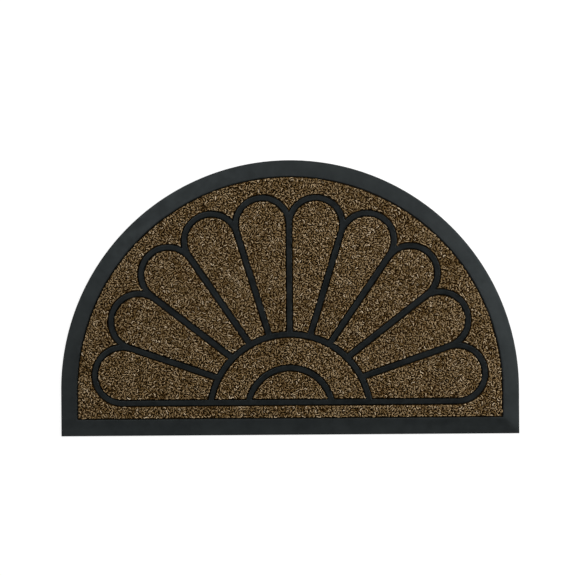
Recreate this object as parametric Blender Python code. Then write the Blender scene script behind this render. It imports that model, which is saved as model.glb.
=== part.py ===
"""Half-round doormat: one moulded rubber tray with thirteen fields of short curled pile.

Run it with: blender --background --python part.py

Units are metres and +Z is up. The mat lies on its flat underside, with the origin under the
middle of its box. +X runs along the straight edge and +Y points at the crown of the arch.

The ribs form a sunburst fan. Every rib is drawn as a centre line, and the rubber's edges and
the pile's edges are the same line moved sideways. So each field is a closed outline of straight
lines and arcs, and one function traces it at any inset.
"""

import math
from collections import namedtuple

import bmesh
import bpy

# Outline of the mat: half a circle on a short straight band
MAT_WIDTH = 0.762
MAT_DEPTH = 0.457
ARCH_RADIUS = MAT_WIDTH / 2

# Heights above the underside
FLOOR_HEIGHT = 0.0025
RIB_HEIGHT = 0.0065
CREST_HEIGHT = 0.0065
PILE_HEIGHT = 0.0090

# The border's width, a rib's half width at its foot, and the clearance between pieces
BORDER_FOOT = 0.0262
RIB_FOOT = 0.0050
GAP = 0.0003

# The fan's centre lines, measured from the straight edge and from the fan's centre
FAN_ABOVE_EDGE = 0.0545
HUB_RADIUS = 0.1334
HUB_DROP = 0.0205
EYE_RADIUS = 0.0704
EYE_DROP = 0.0134

# One row for each petal of the right half, from the middle down to the base rib: the angles
# of its two sides, right of the vertical, and its tip's distance from the fan's centre
Petal = namedtuple("Petal", "left_angle right_angle reach")
RIGHT_PETALS = (
    Petal(left_angle=0.0, right_angle=17.1, reach=0.3430),
    Petal(left_angle=17.1, right_angle=34.4, reach=0.3430),
    Petal(left_angle=34.4, right_angle=52.2, reach=0.3385),
    Petal(left_angle=52.2, right_angle=71.0, reach=0.3310),
    Petal(left_angle=71.0, right_angle=90.0, reach=0.3280),
)

# Profiles. Each row is one ring of points, at a distance sideways and a height.
Ring = namedtuple("Ring", "inset height")
# The border from the mat's edge inwards: rounded lip, ramp, steeper ramp, crest and inner wall
BORDER_PROFILE = (
    Ring(inset=0.0006, height=0.0),
    Ring(inset=0.0, height=0.0006),
    Ring(inset=0.0, height=0.0016),
    Ring(inset=0.0009, height=0.0025),
    Ring(inset=0.0032, height=0.0029),
    Ring(inset=0.0185, height=0.0052),
    Ring(inset=0.0226, height=0.0063),
    Ring(inset=0.0238, height=CREST_HEIGHT),
    Ring(inset=0.0250, height=0.0062),
    Ring(inset=BORDER_FOOT, height=FLOOR_HEIGHT),
)
# A rib's flank, from its foot to its flat top: distances from the rib's centre line
RIB_PROFILE = (
    Ring(inset=RIB_FOOT, height=FLOOR_HEIGHT),
    Ring(inset=0.0044, height=0.0055),
    Ring(inset=0.0036, height=0.0062),
    Ring(inset=0.0026, height=RIB_HEIGHT),
)
# A field's rim, from its foot to its level top: distances from the rib's centre line
PILE_PROFILE = (
    Ring(inset=RIB_FOOT + GAP, height=FLOOR_HEIGHT + GAP),
    Ring(inset=RIB_FOOT + GAP, height=0.0070),
    Ring(inset=RIB_FOOT + 0.0008, height=0.0084),
    Ring(inset=RIB_FOOT + 0.0022, height=PILE_HEIGHT),
)

# How many straight steps stand for each arc
ARCH_STEPS = 72
LOBE_STEPS = 16
HUB_STEPS = 36
EYE_STEPS = 22
PETAL_FOOT_STEPS = 4

# Faces that meet at more than this angle keep a sharp edge
SHARP_ANGLE = math.radians(35)

# Places that follow from the sizes above
EDGE_Y = -MAT_DEPTH / 2
ARCH_CENTRE = (0.0, MAT_DEPTH / 2 - ARCH_RADIUS)
FAN_CENTRE = (0.0, EDGE_Y + FAN_ABOVE_EDGE)
HUB_CENTRE = (0.0, FAN_CENTRE[1] - HUB_DROP)
EYE_CENTRE = (0.0, FAN_CENTRE[1] - EYE_DROP)

# Colours
RUBBER_COLOUR = (0.028, 0.031, 0.033, 1.0)
RUBBER_ROUGHNESS = 0.55
PILE_COLOUR = (0.080, 0.051, 0.025, 1.0)
PILE_ROUGHNESS = 0.95

# An outline is a list of edges, counterclockwise, with the field on each edge's left. An edge
# runs from the corner nearest to its start to the next edge's corner. An arc's side is +1
# where the field lies inside its circle and -1 where the field lies outside it.
Line = namedtuple("Line", "start end")
Arc = namedtuple("Arc", "start centre radius side steps")


def towards(angle, distance):
    """Returns the point at a distance from the fan's centre, at degrees right of the vertical."""
    turn = math.radians(angle)
    return (
        FAN_CENTRE[0] + distance * math.sin(turn),
        FAN_CENTRE[1] + distance * math.cos(turn),
    )


def moved(edge, inset):
    """Returns the edge moved sideways into its field."""
    if isinstance(edge, Arc):
        return edge._replace(radius=edge.radius - edge.side * inset)
    along_x = edge.end[0] - edge.start[0]
    along_y = edge.end[1] - edge.start[1]
    length = math.hypot(along_x, along_y)
    shift = (-along_y / length * inset, along_x / length * inset)
    start = (edge.start[0] + shift[0], edge.start[1] + shift[1])
    end = (edge.end[0] + shift[0], edge.end[1] + shift[1])
    return Line(start, end)


def line_meets_line(first, second):
    """Returns where two straight edges cross."""
    ax, ay = first.end[0] - first.start[0], first.end[1] - first.start[1]
    bx, by = second.end[0] - second.start[0], second.end[1] - second.start[1]
    cx, cy = second.start[0] - first.start[0], second.start[1] - first.start[1]
    part = (cx * by - cy * bx) / (ax * by - ay * bx)
    return [(first.start[0] + part * ax, first.start[1] + part * ay)]


def line_meets_arc(line, arc):
    """Returns the two points where a straight edge crosses a circle, or its tangent point twice."""
    ax, ay = line.end[0] - line.start[0], line.end[1] - line.start[1]
    length = math.hypot(ax, ay)
    ax, ay = ax / length, ay / length
    along = (arc.centre[0] - line.start[0]) * ax + (arc.centre[1] - line.start[1]) * ay
    foot = (line.start[0] + along * ax, line.start[1] + along * ay)
    away = math.hypot(arc.centre[0] - foot[0], arc.centre[1] - foot[1])
    half = math.sqrt(max(0.0, arc.radius**2 - away**2))
    return [
        (foot[0] + half * ax, foot[1] + half * ay),
        (foot[0] - half * ax, foot[1] - half * ay),
    ]


def arc_meets_arc(first, second):
    """Returns the two points where two circles cross."""
    bx, by = second.centre[0] - first.centre[0], second.centre[1] - first.centre[1]
    apart = math.hypot(bx, by)
    along = (apart**2 + first.radius**2 - second.radius**2) / (2 * apart)
    half = math.sqrt(max(0.0, first.radius**2 - along**2))
    bx, by = bx / apart, by / apart
    foot = (first.centre[0] + along * bx, first.centre[1] + along * by)
    return [
        (foot[0] - half * by, foot[1] + half * bx),
        (foot[0] + half * by, foot[1] - half * bx),
    ]


def corner(first, second, near):
    """Returns the crossing of two edges that lies nearest to a point."""
    if isinstance(first, Arc) and isinstance(second, Arc):
        found = arc_meets_arc(first, second)
    elif isinstance(first, Arc):
        found = line_meets_arc(second, first)
    elif isinstance(second, Arc):
        found = line_meets_arc(first, second)
    else:
        found = line_meets_line(first, second)
    return min(found, key=lambda point: math.dist(point, near))


def arc_points(arc, start, end):
    """Returns the points of an arc from its start up to, but without, its end."""
    first = math.atan2(start[1] - arc.centre[1], start[0] - arc.centre[0])
    last = math.atan2(end[1] - arc.centre[1], end[0] - arc.centre[0])
    sweep = (last - first) * arc.side % math.tau * arc.side
    points = []
    for step in range(arc.steps):
        angle = first + sweep * step / arc.steps
        x = arc.centre[0] + arc.radius * math.cos(angle)
        y = arc.centre[1] + arc.radius * math.sin(angle)
        points.append((x, y))
    return points


def trace(outline, inset, height):
    """Returns an outline's ring of points, moved into its field by the inset."""
    edges = [moved(edge, inset) for edge in outline]
    corners = []
    for index, edge in enumerate(edges):
        corners.append(corner(edges[index - 1], edge, outline[index].start))
    ring = []
    for index, edge in enumerate(edges):
        points = [corners[index]]
        if isinstance(edge, Arc):
            points = arc_points(edge, corners[index], corners[(index + 1) % len(corners)])
        ring.extend((x, y, height) for x, y in points)
    return ring


def mat_outline():
    """Returns the mat's own edge: the straight edge, two short sides and the arch."""
    left, right = -MAT_WIDTH / 2, MAT_WIDTH / 2
    spring_y = ARCH_CENTRE[1]
    return [
        Line((left, EDGE_Y), (right, EDGE_Y)),
        Line((right, EDGE_Y), (right, spring_y)),
        Arc((right, spring_y), ARCH_CENTRE, ARCH_RADIUS, 1, ARCH_STEPS),
        Line((left, spring_y), (left, EDGE_Y)),
    ]


def lobe_circle(petal):
    """Returns the distance of a lobe's centre from the fan's centre, and its radius.

    The lobe is the circle that touches both of the petal's sides and reaches its tip.
    """
    spread = math.sin(math.radians(petal.right_angle - petal.left_angle) / 2)
    distance = petal.reach / (1 + spread)
    return distance, distance * spread


def all_petals():
    """Returns the ten petals from left to right, with angles that are negative on the left."""
    left = [Petal(-p.right_angle, -p.left_angle, p.reach) for p in reversed(RIGHT_PETALS)]
    return left + list(RIGHT_PETALS)


def lobe_centre(petal):
    """Returns the point about which a petal's lobe is drawn."""
    distance, _ = lobe_circle(petal)
    return towards((petal.left_angle + petal.right_angle) / 2, distance)


def petal_outline(petal):
    """Returns a petal: out along its right side, round its lobe, back, and along the hub."""
    _, radius = lobe_circle(petal)
    hub_left = towards(petal.left_angle, HUB_RADIUS - HUB_DROP)
    hub_right = towards(petal.right_angle, HUB_RADIUS - HUB_DROP)
    tip_left = towards(petal.left_angle, petal.reach)
    tip_right = towards(petal.right_angle, petal.reach)
    return [
        Line(hub_right, tip_right),
        Arc(tip_right, lobe_centre(petal), radius, 1, LOBE_STEPS),
        Line(tip_left, hub_left),
        Arc(hub_left, HUB_CENTRE, HUB_RADIUS, -1, PETAL_FOOT_STEPS),
    ]


def base_line(start_x, end_x):
    """Returns a stretch of the base rib's centre line, with the field above it."""
    return Line((start_x, FAN_CENTRE[1]), (end_x, FAN_CENTRE[1]))


def hub_ring_outline():
    """Returns the arch-shaped field between the two hub arcs."""
    return [
        base_line(EYE_RADIUS, HUB_RADIUS),
        Arc((HUB_RADIUS, FAN_CENTRE[1]), HUB_CENTRE, HUB_RADIUS, 1, HUB_STEPS),
        base_line(-HUB_RADIUS, -EYE_RADIUS),
        Arc((-EYE_RADIUS, FAN_CENTRE[1]), EYE_CENTRE, EYE_RADIUS, -1, EYE_STEPS),
    ]


def hub_centre_outline():
    """Returns the small field under the inner hub arc."""
    return [
        base_line(-EYE_RADIUS, EYE_RADIUS),
        Arc((EYE_RADIUS, FAN_CENTRE[1]), EYE_CENTRE, EYE_RADIUS, 1, EYE_STEPS),
    ]


def fan_outline():
    """Returns the fan's silhouette: the base rib and then the ten lobes from right to left."""
    outermost = RIGHT_PETALS[-1].reach
    edges = [base_line(-outermost, outermost)]
    for petal in reversed(all_petals()):
        _, radius = lobe_circle(petal)
        start = towards(petal.right_angle, petal.reach)
        edges.append(Arc(start, lobe_centre(petal), radius, 1, LOBE_STEPS))
    return edges


def add_ring(mesh, points):
    """Adds a ring of points to the mesh and returns them."""
    return [mesh.verts.new(point) for point in points]


def join_rings(mesh, rings):
    """Skins neighbouring rings with four-sided faces."""
    for low, high in zip(rings, rings[1:]):
        for index in range(len(low)):
            after = (index + 1) % len(low)
            mesh.faces.new((low[index], low[after], high[after], high[index]))


def ring_edges(mesh, ring):
    """Returns the edges between neighbouring points of a ring, and makes those that lack."""
    edges = []
    for index, vert in enumerate(ring):
        after = ring[(index + 1) % len(ring)]
        edge = mesh.edges.get((vert, after)) or mesh.edges.new((vert, after))
        edges.append(edge)
    return edges


def fill_between(mesh, rings, normal):
    """Fills the level area that lies inside the first ring and outside the others."""
    edges = []
    for ring in rings:
        edges.extend(ring_edges(mesh, ring))
    bmesh.ops.triangle_fill(mesh, edges=edges, normal=normal, use_beauty=True)


def traced_rings(mesh, outline, profile, direction=1, shift=0.0):
    """Adds one ring for each row of a profile and returns the rings."""
    rings = []
    for row in profile:
        inset = direction * (row.inset + shift)
        rings.append(add_ring(mesh, trace(outline, inset, row.height)))
    return rings


def material(name, colour, roughness):
    """Returns a plain Principled material."""
    made = bpy.data.materials.new(name)
    made.use_nodes = True
    shader = made.node_tree.nodes["Principled BSDF"]
    shader.inputs["Base Color"].default_value = colour
    shader.inputs["Roughness"].default_value = roughness
    shader.inputs["Metallic"].default_value = 0.0
    made.diffuse_color = colour
    return made


def add_object(name, mesh, finish, origin, parent):
    """Turns a mesh in the mat's frame into an object that stands at its own origin."""
    bmesh.ops.recalc_face_normals(mesh, faces=mesh.faces)
    bmesh.ops.translate(mesh, vec=[-value for value in origin], verts=mesh.verts)
    data = bpy.data.meshes.new(name)
    mesh.to_mesh(data)
    mesh.free()
    data.materials.append(finish)
    data.shade_smooth()
    data.set_sharp_from_angle(angle=SHARP_ANGLE)
    made = bpy.data.objects.new(name, data)
    made.location = origin
    made.parent = parent
    bpy.context.scene.collection.objects.link(made)
    return made


def well_outlines():
    """Returns the outlines of the twelve wells inside the fan."""
    wells = [petal_outline(petal) for petal in all_petals()]
    wells.append(hub_ring_outline())
    wells.append(hub_centre_outline())
    return wells


def make_rubber_tray(finish, parent):
    """Moulds the tray: underside, border, floor of the surround, and the island of ribs."""
    mesh = bmesh.new()
    border = traced_rings(mesh, mat_outline(), BORDER_PROFILE)
    join_rings(mesh, border)
    mesh.faces.new(border[0])

    fan = traced_rings(mesh, fan_outline(), RIB_PROFILE, direction=-1)
    join_rings(mesh, fan)
    fill_between(mesh, [border[-1], fan[0]], (0, 0, 1))

    island_top = [fan[-1]]
    for outline in well_outlines():
        well = traced_rings(mesh, outline, RIB_PROFILE)
        join_rings(mesh, well)
        mesh.faces.new(well[0])
        island_top.append(well[-1])
    fill_between(mesh, island_top, (0, 0, 1))
    return add_object("rubber_tray", mesh, finish, (0.0, 0.0, 0.0), parent)


def make_field(name, outline, origin, finish, parent):
    """Makes a field of pile as a slab with a level top and a rounded rim."""
    mesh = bmesh.new()
    rings = traced_rings(mesh, outline, PILE_PROFILE)
    join_rings(mesh, rings)
    mesh.faces.new(rings[0])
    mesh.faces.new(rings[-1])
    return add_object(name, mesh, finish, origin, parent)


def make_surround(finish, parent):
    """Makes the field between the border and the fan, in one piece right round the fan."""
    mesh = bmesh.new()
    to_border = BORDER_FOOT - RIB_FOOT
    outer = traced_rings(mesh, mat_outline(), PILE_PROFILE, shift=to_border)
    inner = traced_rings(mesh, fan_outline(), PILE_PROFILE, direction=-1)
    join_rings(mesh, outer)
    join_rings(mesh, inner)
    fill_between(mesh, [outer[0], inner[0]], (0, 0, -1))
    fill_between(mesh, [outer[-1], inner[-1]], (0, 0, 1))
    return add_object("pile_surround", mesh, finish, (0.0, 0.0, 0.0), parent)


def build():
    """Clears the scene and builds the mat."""
    for old in list(bpy.data.objects):
        bpy.data.objects.remove(old, do_unlink=True)

    mat = bpy.data.objects.new("doormat", None)
    bpy.context.scene.collection.objects.link(mat)
    rubber = material("rubber", RUBBER_COLOUR, RUBBER_ROUGHNESS)
    pile = material("pile", PILE_COLOUR, PILE_ROUGHNESS)

    make_rubber_tray(rubber, mat)
    for number, petal in enumerate(all_petals(), start=1):
        origin = (*lobe_centre(petal), FLOOR_HEIGHT)
        make_field(f"pile_petal_{number:02d}", petal_outline(petal), origin, pile, mat)
    hub_origin = (*FAN_CENTRE, FLOOR_HEIGHT)
    make_field("pile_hub_ring", hub_ring_outline(), hub_origin, pile, mat)
    make_field("pile_hub_centre", hub_centre_outline(), hub_origin, pile, mat)
    make_surround(pile, mat)


build()
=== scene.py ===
# %% [markdown]
# # A half-round doormat: moulded rubber and short curled pile
#
# The real mat is one moulding of black rubber with a sloped border and raised ribs. Between the
# ribs lies a short pile of brown curled yarn, cut from one sheet and bonded into the wells. This
# lesson dresses the plain solids of such a mat: the rubber gets a finer moulding, and the wells
# get twelve thousand real curls. Units are metres, +Z is up, and the mat lies on its flat
# underside with the middle of its box at the origin.

# %% Load the plain solids
import math
from collections import namedtuple

import bmesh
import bpy
import numpy as np
from mathutils.geometry import delaunay_2d_cdt
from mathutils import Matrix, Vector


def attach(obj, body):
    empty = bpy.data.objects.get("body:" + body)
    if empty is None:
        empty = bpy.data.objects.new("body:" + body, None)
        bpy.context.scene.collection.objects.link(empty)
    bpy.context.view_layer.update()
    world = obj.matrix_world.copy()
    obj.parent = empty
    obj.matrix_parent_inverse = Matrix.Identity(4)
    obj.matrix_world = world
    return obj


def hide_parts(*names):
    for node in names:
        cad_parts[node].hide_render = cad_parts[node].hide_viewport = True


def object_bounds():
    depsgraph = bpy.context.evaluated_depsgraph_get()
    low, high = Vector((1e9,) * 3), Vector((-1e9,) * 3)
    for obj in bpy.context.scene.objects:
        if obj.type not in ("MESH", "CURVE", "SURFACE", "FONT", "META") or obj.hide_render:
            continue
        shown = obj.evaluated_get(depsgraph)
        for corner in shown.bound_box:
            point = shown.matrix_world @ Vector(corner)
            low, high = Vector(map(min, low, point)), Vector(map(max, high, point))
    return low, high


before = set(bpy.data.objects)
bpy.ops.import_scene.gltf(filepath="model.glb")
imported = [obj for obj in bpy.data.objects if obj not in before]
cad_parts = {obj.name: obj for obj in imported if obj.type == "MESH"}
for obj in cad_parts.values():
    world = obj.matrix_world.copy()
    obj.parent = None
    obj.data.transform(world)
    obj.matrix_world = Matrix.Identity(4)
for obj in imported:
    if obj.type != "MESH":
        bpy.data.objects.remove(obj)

MM = 0.001
solid_low, solid_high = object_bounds()
MAT_WIDTH = solid_high.x - solid_low.x
MAT_DEPTH = solid_high.y - solid_low.y
print(f"The solids are {MAT_WIDTH / MM:.1f} by {MAT_DEPTH / MM:.1f} mm, {solid_high.z / MM:.1f} mm tall")

# %% [markdown]
# ## The camera
#
# The mat was photographed from straight above with a long lens, so its edges don't lean. We
# could point a camera with a constraint, but a camera that looks straight down needs only its
# place and one turn. Its height follows from the width that the picture spans at the ribs' tops.

# %% Hang the camera over the mat
PICTURE_SPAN = 0.9563
LENS = 85.0
SENSOR = 36.0
LOOKED_AT = (-0.0023, 0.0158)
MAT_TURN = math.radians(0.4)
RIB_HEIGHT = 6.5 * MM


def add_object(name, data):
    """Puts new object data into the scene."""
    made = bpy.data.objects.new(name, data)
    bpy.context.scene.collection.objects.link(made)
    return made


camera_data = bpy.data.cameras.new("camera")
camera_data.lens = LENS
camera_data.sensor_width = SENSOR
camera = add_object("camera", camera_data)
camera.location = (*LOOKED_AT, RIB_HEIGHT + PICTURE_SPAN * LENS / SENSOR)
camera.rotation_euler = (0.0, 0.0, -MAT_TURN)
bpy.context.scene.camera = camera
print(f"The camera hangs {camera.location.z:.2f} m above the floor")

# %% [markdown]
# ## Soft lamps at the sides
#
# Black rubber shows its form only by what it mirrors, so three soft lamps stand well to the
# sides. The key lamp, close by on the right, gives the sloped border its brighter right side.
# One further off, beyond the arch on the left, lights the arch's left half, and a weak one in
# front on the left fills the shade. Sun lamps would do it with hard shadows. Area lamps are used
# because their size sets how soft a shadow is.

# %% Set the lamps
def add_lamp(name, azimuth, elevation, distance, size, watts):
    """Aims a square area lamp at the mat from a compass direction and a height in degrees."""
    lamp = bpy.data.lights.new(name, "AREA")
    lamp.shape = "SQUARE"
    lamp.size = size
    lamp.energy = watts
    made = add_object(name, lamp)
    turn, lift = math.radians(azimuth), math.radians(elevation)
    made.location = (
        distance * math.cos(lift) * math.cos(turn),
        distance * math.cos(lift) * math.sin(turn),
        distance * math.sin(lift),
    )
    made.rotation_euler = (math.radians(90.0 - elevation), 0.0, turn + math.radians(90.0))


add_lamp("key_lamp", azimuth=17, elevation=31, distance=2.2, size=1.3, watts=58)
add_lamp("far_lamp", azimuth=129, elevation=48, distance=3.4, size=1.8, watts=77)
add_lamp("near_fill", azimuth=236, elevation=48, distance=3.4, size=2.0, watts=24)
print(f"Lamps: {[light.name for light in bpy.data.lights]}")

# %% [markdown]
# ## A short way to write nodes
#
# Node trees can be drawn in Blender's editor or written in Python, and written out they are long
# because each node, value and link is a line. Four helpers keep them short: one places any node,
# and the others place the three kinds that this lesson uses most.

# %% Helpers for nodes
def place(tree, kind, inputs=(), **settings):
    """Adds a node, sets its settings, and feeds its inputs with values or with other sockets."""
    made = tree.nodes.new(kind)
    for name, value in settings.items():
        setattr(made, name, value)
    for name, value in dict(inputs).items():
        if isinstance(value, bpy.types.NodeSocket):
            tree.links.new(value, made.inputs[name])
        else:
            made.inputs[name].default_value = value
    return made


def calculated(tree, operation, *values):
    """Places a Math node on values or sockets and returns its result."""
    return place(tree, "ShaderNodeMath", dict(enumerate(values)), operation=operation).outputs[0]


def rescaled(tree, value, start, end):
    """Moves a value from one range, given as its two ends, to another, and returns the result."""
    ends = {"From Min": start[0], "From Max": start[1], "To Min": end[0], "To Max": end[1]}
    return place(tree, "ShaderNodeMapRange", {"Value": value, **ends}).outputs["Result"]


def blended(tree, factor, first, second, kind="MIX"):
    """Mixes two colours, each a value or a socket, by a value or a socket."""
    colours = {0: factor, 6: first, 7: second}
    return place(tree, "ShaderNodeMix", colours, data_type="RGBA", blend_type=kind).outputs[2]


def new_material(name):
    """Starts a material and returns it with its tree, its shader and the object's coordinates."""
    made = bpy.data.materials.new(name)
    made.use_nodes = True
    tree = made.node_tree
    at = place(tree, "ShaderNodeTexCoord").outputs["Object"]
    return made, tree, tree.nodes["Principled BSDF"], at


print("The helpers are ready")

# %% [markdown]
# ## A white world that lights little
#
# The mat lies on plain white with hardly a shadow. A white world as strong as it looks would do
# that, but it would also fill the dark gaps between the curls. So a Light Path node shows the
# white world to the camera alone and leaves the mat a trace of it, and the lamps do the rest.

# %% The world around the mat
WHITE = (1.0, 1.0, 1.0, 1.0)
BACKDROP_GLOW = 0.8
WORLD_LIGHT = 0.02
NONE_TO_ALL = (0.0, 1.0)

world = bpy.data.worlds.new("studio")
world.use_nodes = True
sky = world.node_tree.nodes["Background"]
sky.inputs["Color"].default_value = WHITE
seen = place(world.node_tree, "ShaderNodeLightPath").outputs["Is Camera Ray"]
strength = rescaled(world.node_tree, seen, NONE_TO_ALL, (WORLD_LIGHT, BACKDROP_GLOW))
world.node_tree.links.new(strength, sky.inputs["Strength"])
bpy.context.scene.world = world
bpy.context.scene.view_settings.view_transform = "Standard"
print(f"The world glows {BACKDROP_GLOW} for the camera and {WORLD_LIGHT} for the mat")

# %% [markdown]
# ## Shared effects as node groups
#
# Rubber and yarn are different stuffs, but both have a fine grain, a tone that drifts from place
# to place, and a little dust where they face up. Each effect is built once as a node group with
# named sockets, and each material places it with its own values. A group puts out only values
# and masks, and the shader itself stays in the material. Two helpers make and place groups.

# %% Helpers for groups
FLOAT, VECTOR = "NodeSocketFloat", "NodeSocketVector"


def new_group(name, inputs, outputs):
    """Starts a group from tables of its sockets, and returns it with its two end nodes."""
    group = bpy.data.node_groups.new(name, "ShaderNodeTree")
    for title, kind, value in inputs:
        socket = group.interface.new_socket(title, in_out="INPUT", socket_type=kind)
        if value is not None:
            socket.default_value = value
    for title, kind in outputs:
        group.interface.new_socket(title, in_out="OUTPUT", socket_type=kind)
    return group, group.nodes.new("NodeGroupInput"), group.nodes.new("NodeGroupOutput")


def use_group(tree, group, **inputs):
    """Places a group in a material. An input's name is written with _ for each space."""
    named = {name.replace("_", " "): value for name, value in inputs.items()}
    return place(tree, "ShaderNodeGroup", named, node_tree=group)


def noise(tree, at, fineness, detail, roughness):
    """Places a noise texture and returns its grey value, which gathers round one half."""
    inputs = {"Vector": at, "Scale": fineness, "Detail": detail, "Roughness": roughness}
    return place(tree, "ShaderNodeTexNoise", inputs).outputs["Fac"]


print("Groups can be made and placed")

# %% [markdown]
# ## Fine grain
#
# The skin of a mould leaves a fine grain on rubber, and twist leaves streaks on yarn. Both are
# noise at a small size. The group puts out the noise itself, for bump, and the same noise
# stretched to run from -1 to 1, to shift a tone or a roughness by.

# %% Group: fine grain
GREY_SPAN = (0.35, 0.65)
AROUND_ZERO = (-1.0, 1.0)

grain_group, start, end = new_group(
    "fine_grain",
    [("At", VECTOR, None), ("Fineness", FLOAT, 1000.0), ("Roughness", FLOAT, 0.6)],
    [("Height", FLOAT), ("Speck", FLOAT)],
)
grain = noise(grain_group, start.outputs["At"], start.outputs["Fineness"], 3.0, start.outputs["Roughness"])
grain_group.links.new(grain, end.inputs["Height"])
grain_group.links.new(rescaled(grain_group, grain, GREY_SPAN, AROUND_ZERO), end.inputs["Speck"])
print("Built the group fine_grain")

# %% [markdown]
# ## Drifting tone
#
# No batch of rubber or paint is quite even. This group gives a factor that drifts smoothly
# around one, in patches of a stated size, and a colour or a roughness is multiplied by it.

# %% Group: drifting tone
DRIFT_SPAN = (0.3, 0.7)

drift_group, start, end = new_group(
    "drifting_tone",
    [("At", VECTOR, None), ("Patch Size", FLOAT, 0.05), ("Amount", FLOAT, 0.2)],
    [("Factor", FLOAT)],
)
fineness = calculated(drift_group, "DIVIDE", 1.0, start.outputs["Patch Size"])
drift = noise(drift_group, start.outputs["At"], fineness, 2.0, 0.5)
drift = rescaled(drift_group, drift, DRIFT_SPAN, AROUND_ZERO)
factor = calculated(drift_group, "MULTIPLY_ADD", drift, start.outputs["Amount"], 1.0)
drift_group.links.new(factor, end.inputs["Factor"])
print("Built the group drifting_tone")

# %% [markdown]
# ## Settled dust
#
# Dust falls from above, so it lies in patches on what faces up and leaves flanks clean. The
# group multiplies a patchy noise by how far the surface faces up. It puts out a mask, and each
# material chooses what colour its dust has.

# %% Group: settled dust
DUSTY_SPAN = (0.38, 0.72)
UPWARD_SPAN = (0.2, 1.0)

dust_group, start, end = new_group(
    "settled_dust",
    [("At", VECTOR, None), ("Patch Size", FLOAT, 0.03), ("Cover", FLOAT, 0.3)],
    [("Mask", FLOAT)],
)
fineness = calculated(dust_group, "DIVIDE", 1.0, start.outputs["Patch Size"])
dusty = noise(dust_group, start.outputs["At"], fineness, 6.0, 0.65)
dusty = rescaled(dust_group, dusty, DUSTY_SPAN, NONE_TO_ALL)
normal = place(dust_group, "ShaderNodeNewGeometry").outputs["Normal"]
upward = place(dust_group, "ShaderNodeSeparateXYZ", {0: normal}).outputs["Z"]
upward = rescaled(dust_group, upward, UPWARD_SPAN, NONE_TO_ALL)
mask = calculated(dust_group, "MULTIPLY", dusty, upward)
mask = calculated(dust_group, "MULTIPLY", mask, start.outputs["Cover"])
dust_group.links.new(mask, end.inputs["Mask"])
print("Built the group settled_dust")

# %% [markdown]
# ## Satin black rubber
#
# Moulded rubber is black but never flat black: it has a fine grain, a tone that drifts, and dust on what
# faces up. The ribs are rubbed by feet and stay blacker and a little smoother than the border. The border's
# colour also holds painted light and shade: it is palest at the lip and darker inwards towards the crest, as
# the light on its slope falls off. The mesh says which is which in an attribute, from 0 on the ribs to 1 and
# more on the lip. An image could carry all this, but noise in the object's own coordinates stays sharp at
# any distance.

# %% Material: rubber
BLACK_RUBBER = (0.0019, 0.0023, 0.0021, 1.0)
GREYED_AND_LIT_RUBBER = (0.0097, 0.0110, 0.0108, 1.0)
GREY_DUST = (0.0220, 0.0255, 0.0263, 1.0)
RIB_ROUGHNESS = 0.475
BORDER_ROUGHNESS = 0.58
SPECK_SHARE = 0.04
COOL_GLINT = (0.80, 0.93, 0.98, 1.0)

rubber, tree, shader, at = new_material("satin_rubber")
grain = use_group(tree, grain_group, At=at, Fineness=1400.0, Roughness=0.55)
drift = use_group(tree, drift_group, At=at, Patch_Size=0.04, Amount=0.26)
dust = use_group(tree, dust_group, At=at, Patch_Size=0.012, Cover=0.24)
blotches = use_group(tree, drift_group, At=at, Patch_Size=0.013, Amount=0.14)
wear = place(tree, "ShaderNodeAttribute", attribute_name="wear").outputs["Fac"]

# This mix is partly wear and partly painted shade: the border is palest at its lip and darker towards its
# crest.
colour = blended(tree, wear, BLACK_RUBBER, GREYED_AND_LIT_RUBBER)
colour = blended(tree, 1.0, colour, drift.outputs["Factor"], "MULTIPLY")
colour = blended(tree, dust.outputs["Mask"], colour, GREY_DUST)
tree.links.new(colour, shader.inputs["Base Color"])

rough = rescaled(tree, wear, NONE_TO_ALL, (RIB_ROUGHNESS, BORDER_ROUGHNESS))
rough = calculated(tree, "MULTIPLY", rough, blotches.outputs["Factor"])
rough = calculated(tree, "MULTIPLY_ADD", grain.outputs["Speck"], SPECK_SHARE, rough)
tree.links.new(rough, shader.inputs["Roughness"])


def add_bump(tree, shader, height, strength, distance):
    """Lets a height roughen the shader's surface."""
    bump = place(tree, "ShaderNodeBump", {"Height": height, "Strength": strength, "Distance": distance})
    tree.links.new(bump.outputs["Normal"], shader.inputs["Normal"])


add_bump(tree, shader, grain.outputs["Height"], strength=0.12, distance=0.05 * MM)
shader.inputs["Specular IOR Level"].default_value = 0.22
shader.inputs["Specular Tint"].default_value = COOL_GLINT
print("Made the material satin_rubber")

# %% [markdown]
# ## Curled yarn
#
# The pile is spun from tan, brown and near-black fibres, so neighbouring curls differ and the whole reads as
# a speckled brown. Every curl carries one tone, in an attribute, which a colour ramp turns into a yarn
# colour. The tone also holds painted shade, darker on the low curls, and painted light, paler at the rim.
# Light hardly reaches the roots, so they are painted darker still. The streaks of the twisted fibres come
# from noise in coordinates that wind round each curl.

# %% Material: yarn
DARK_YARN = (0.0320, 0.0165, 0.0036, 1.0)
BROWN_YARN = (0.1360, 0.0845, 0.0315, 1.0)
TAN_YARN = (0.2850, 0.2040, 0.1110, 1.0)
STRAW_YARN = (0.4600, 0.3680, 0.2500, 1.0)
ROOT_SHADE = (0.3700, 0.2250, 0.0600, 1.0)
STREAK_SHARE = 0.10
BROWN_AT, TAN_AT = 0.35, 0.70
SHADE_SPAN = (5.0 * MM, 8.6 * MM)
YARN_ROUGHNESS = (0.62, 0.88)

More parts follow.
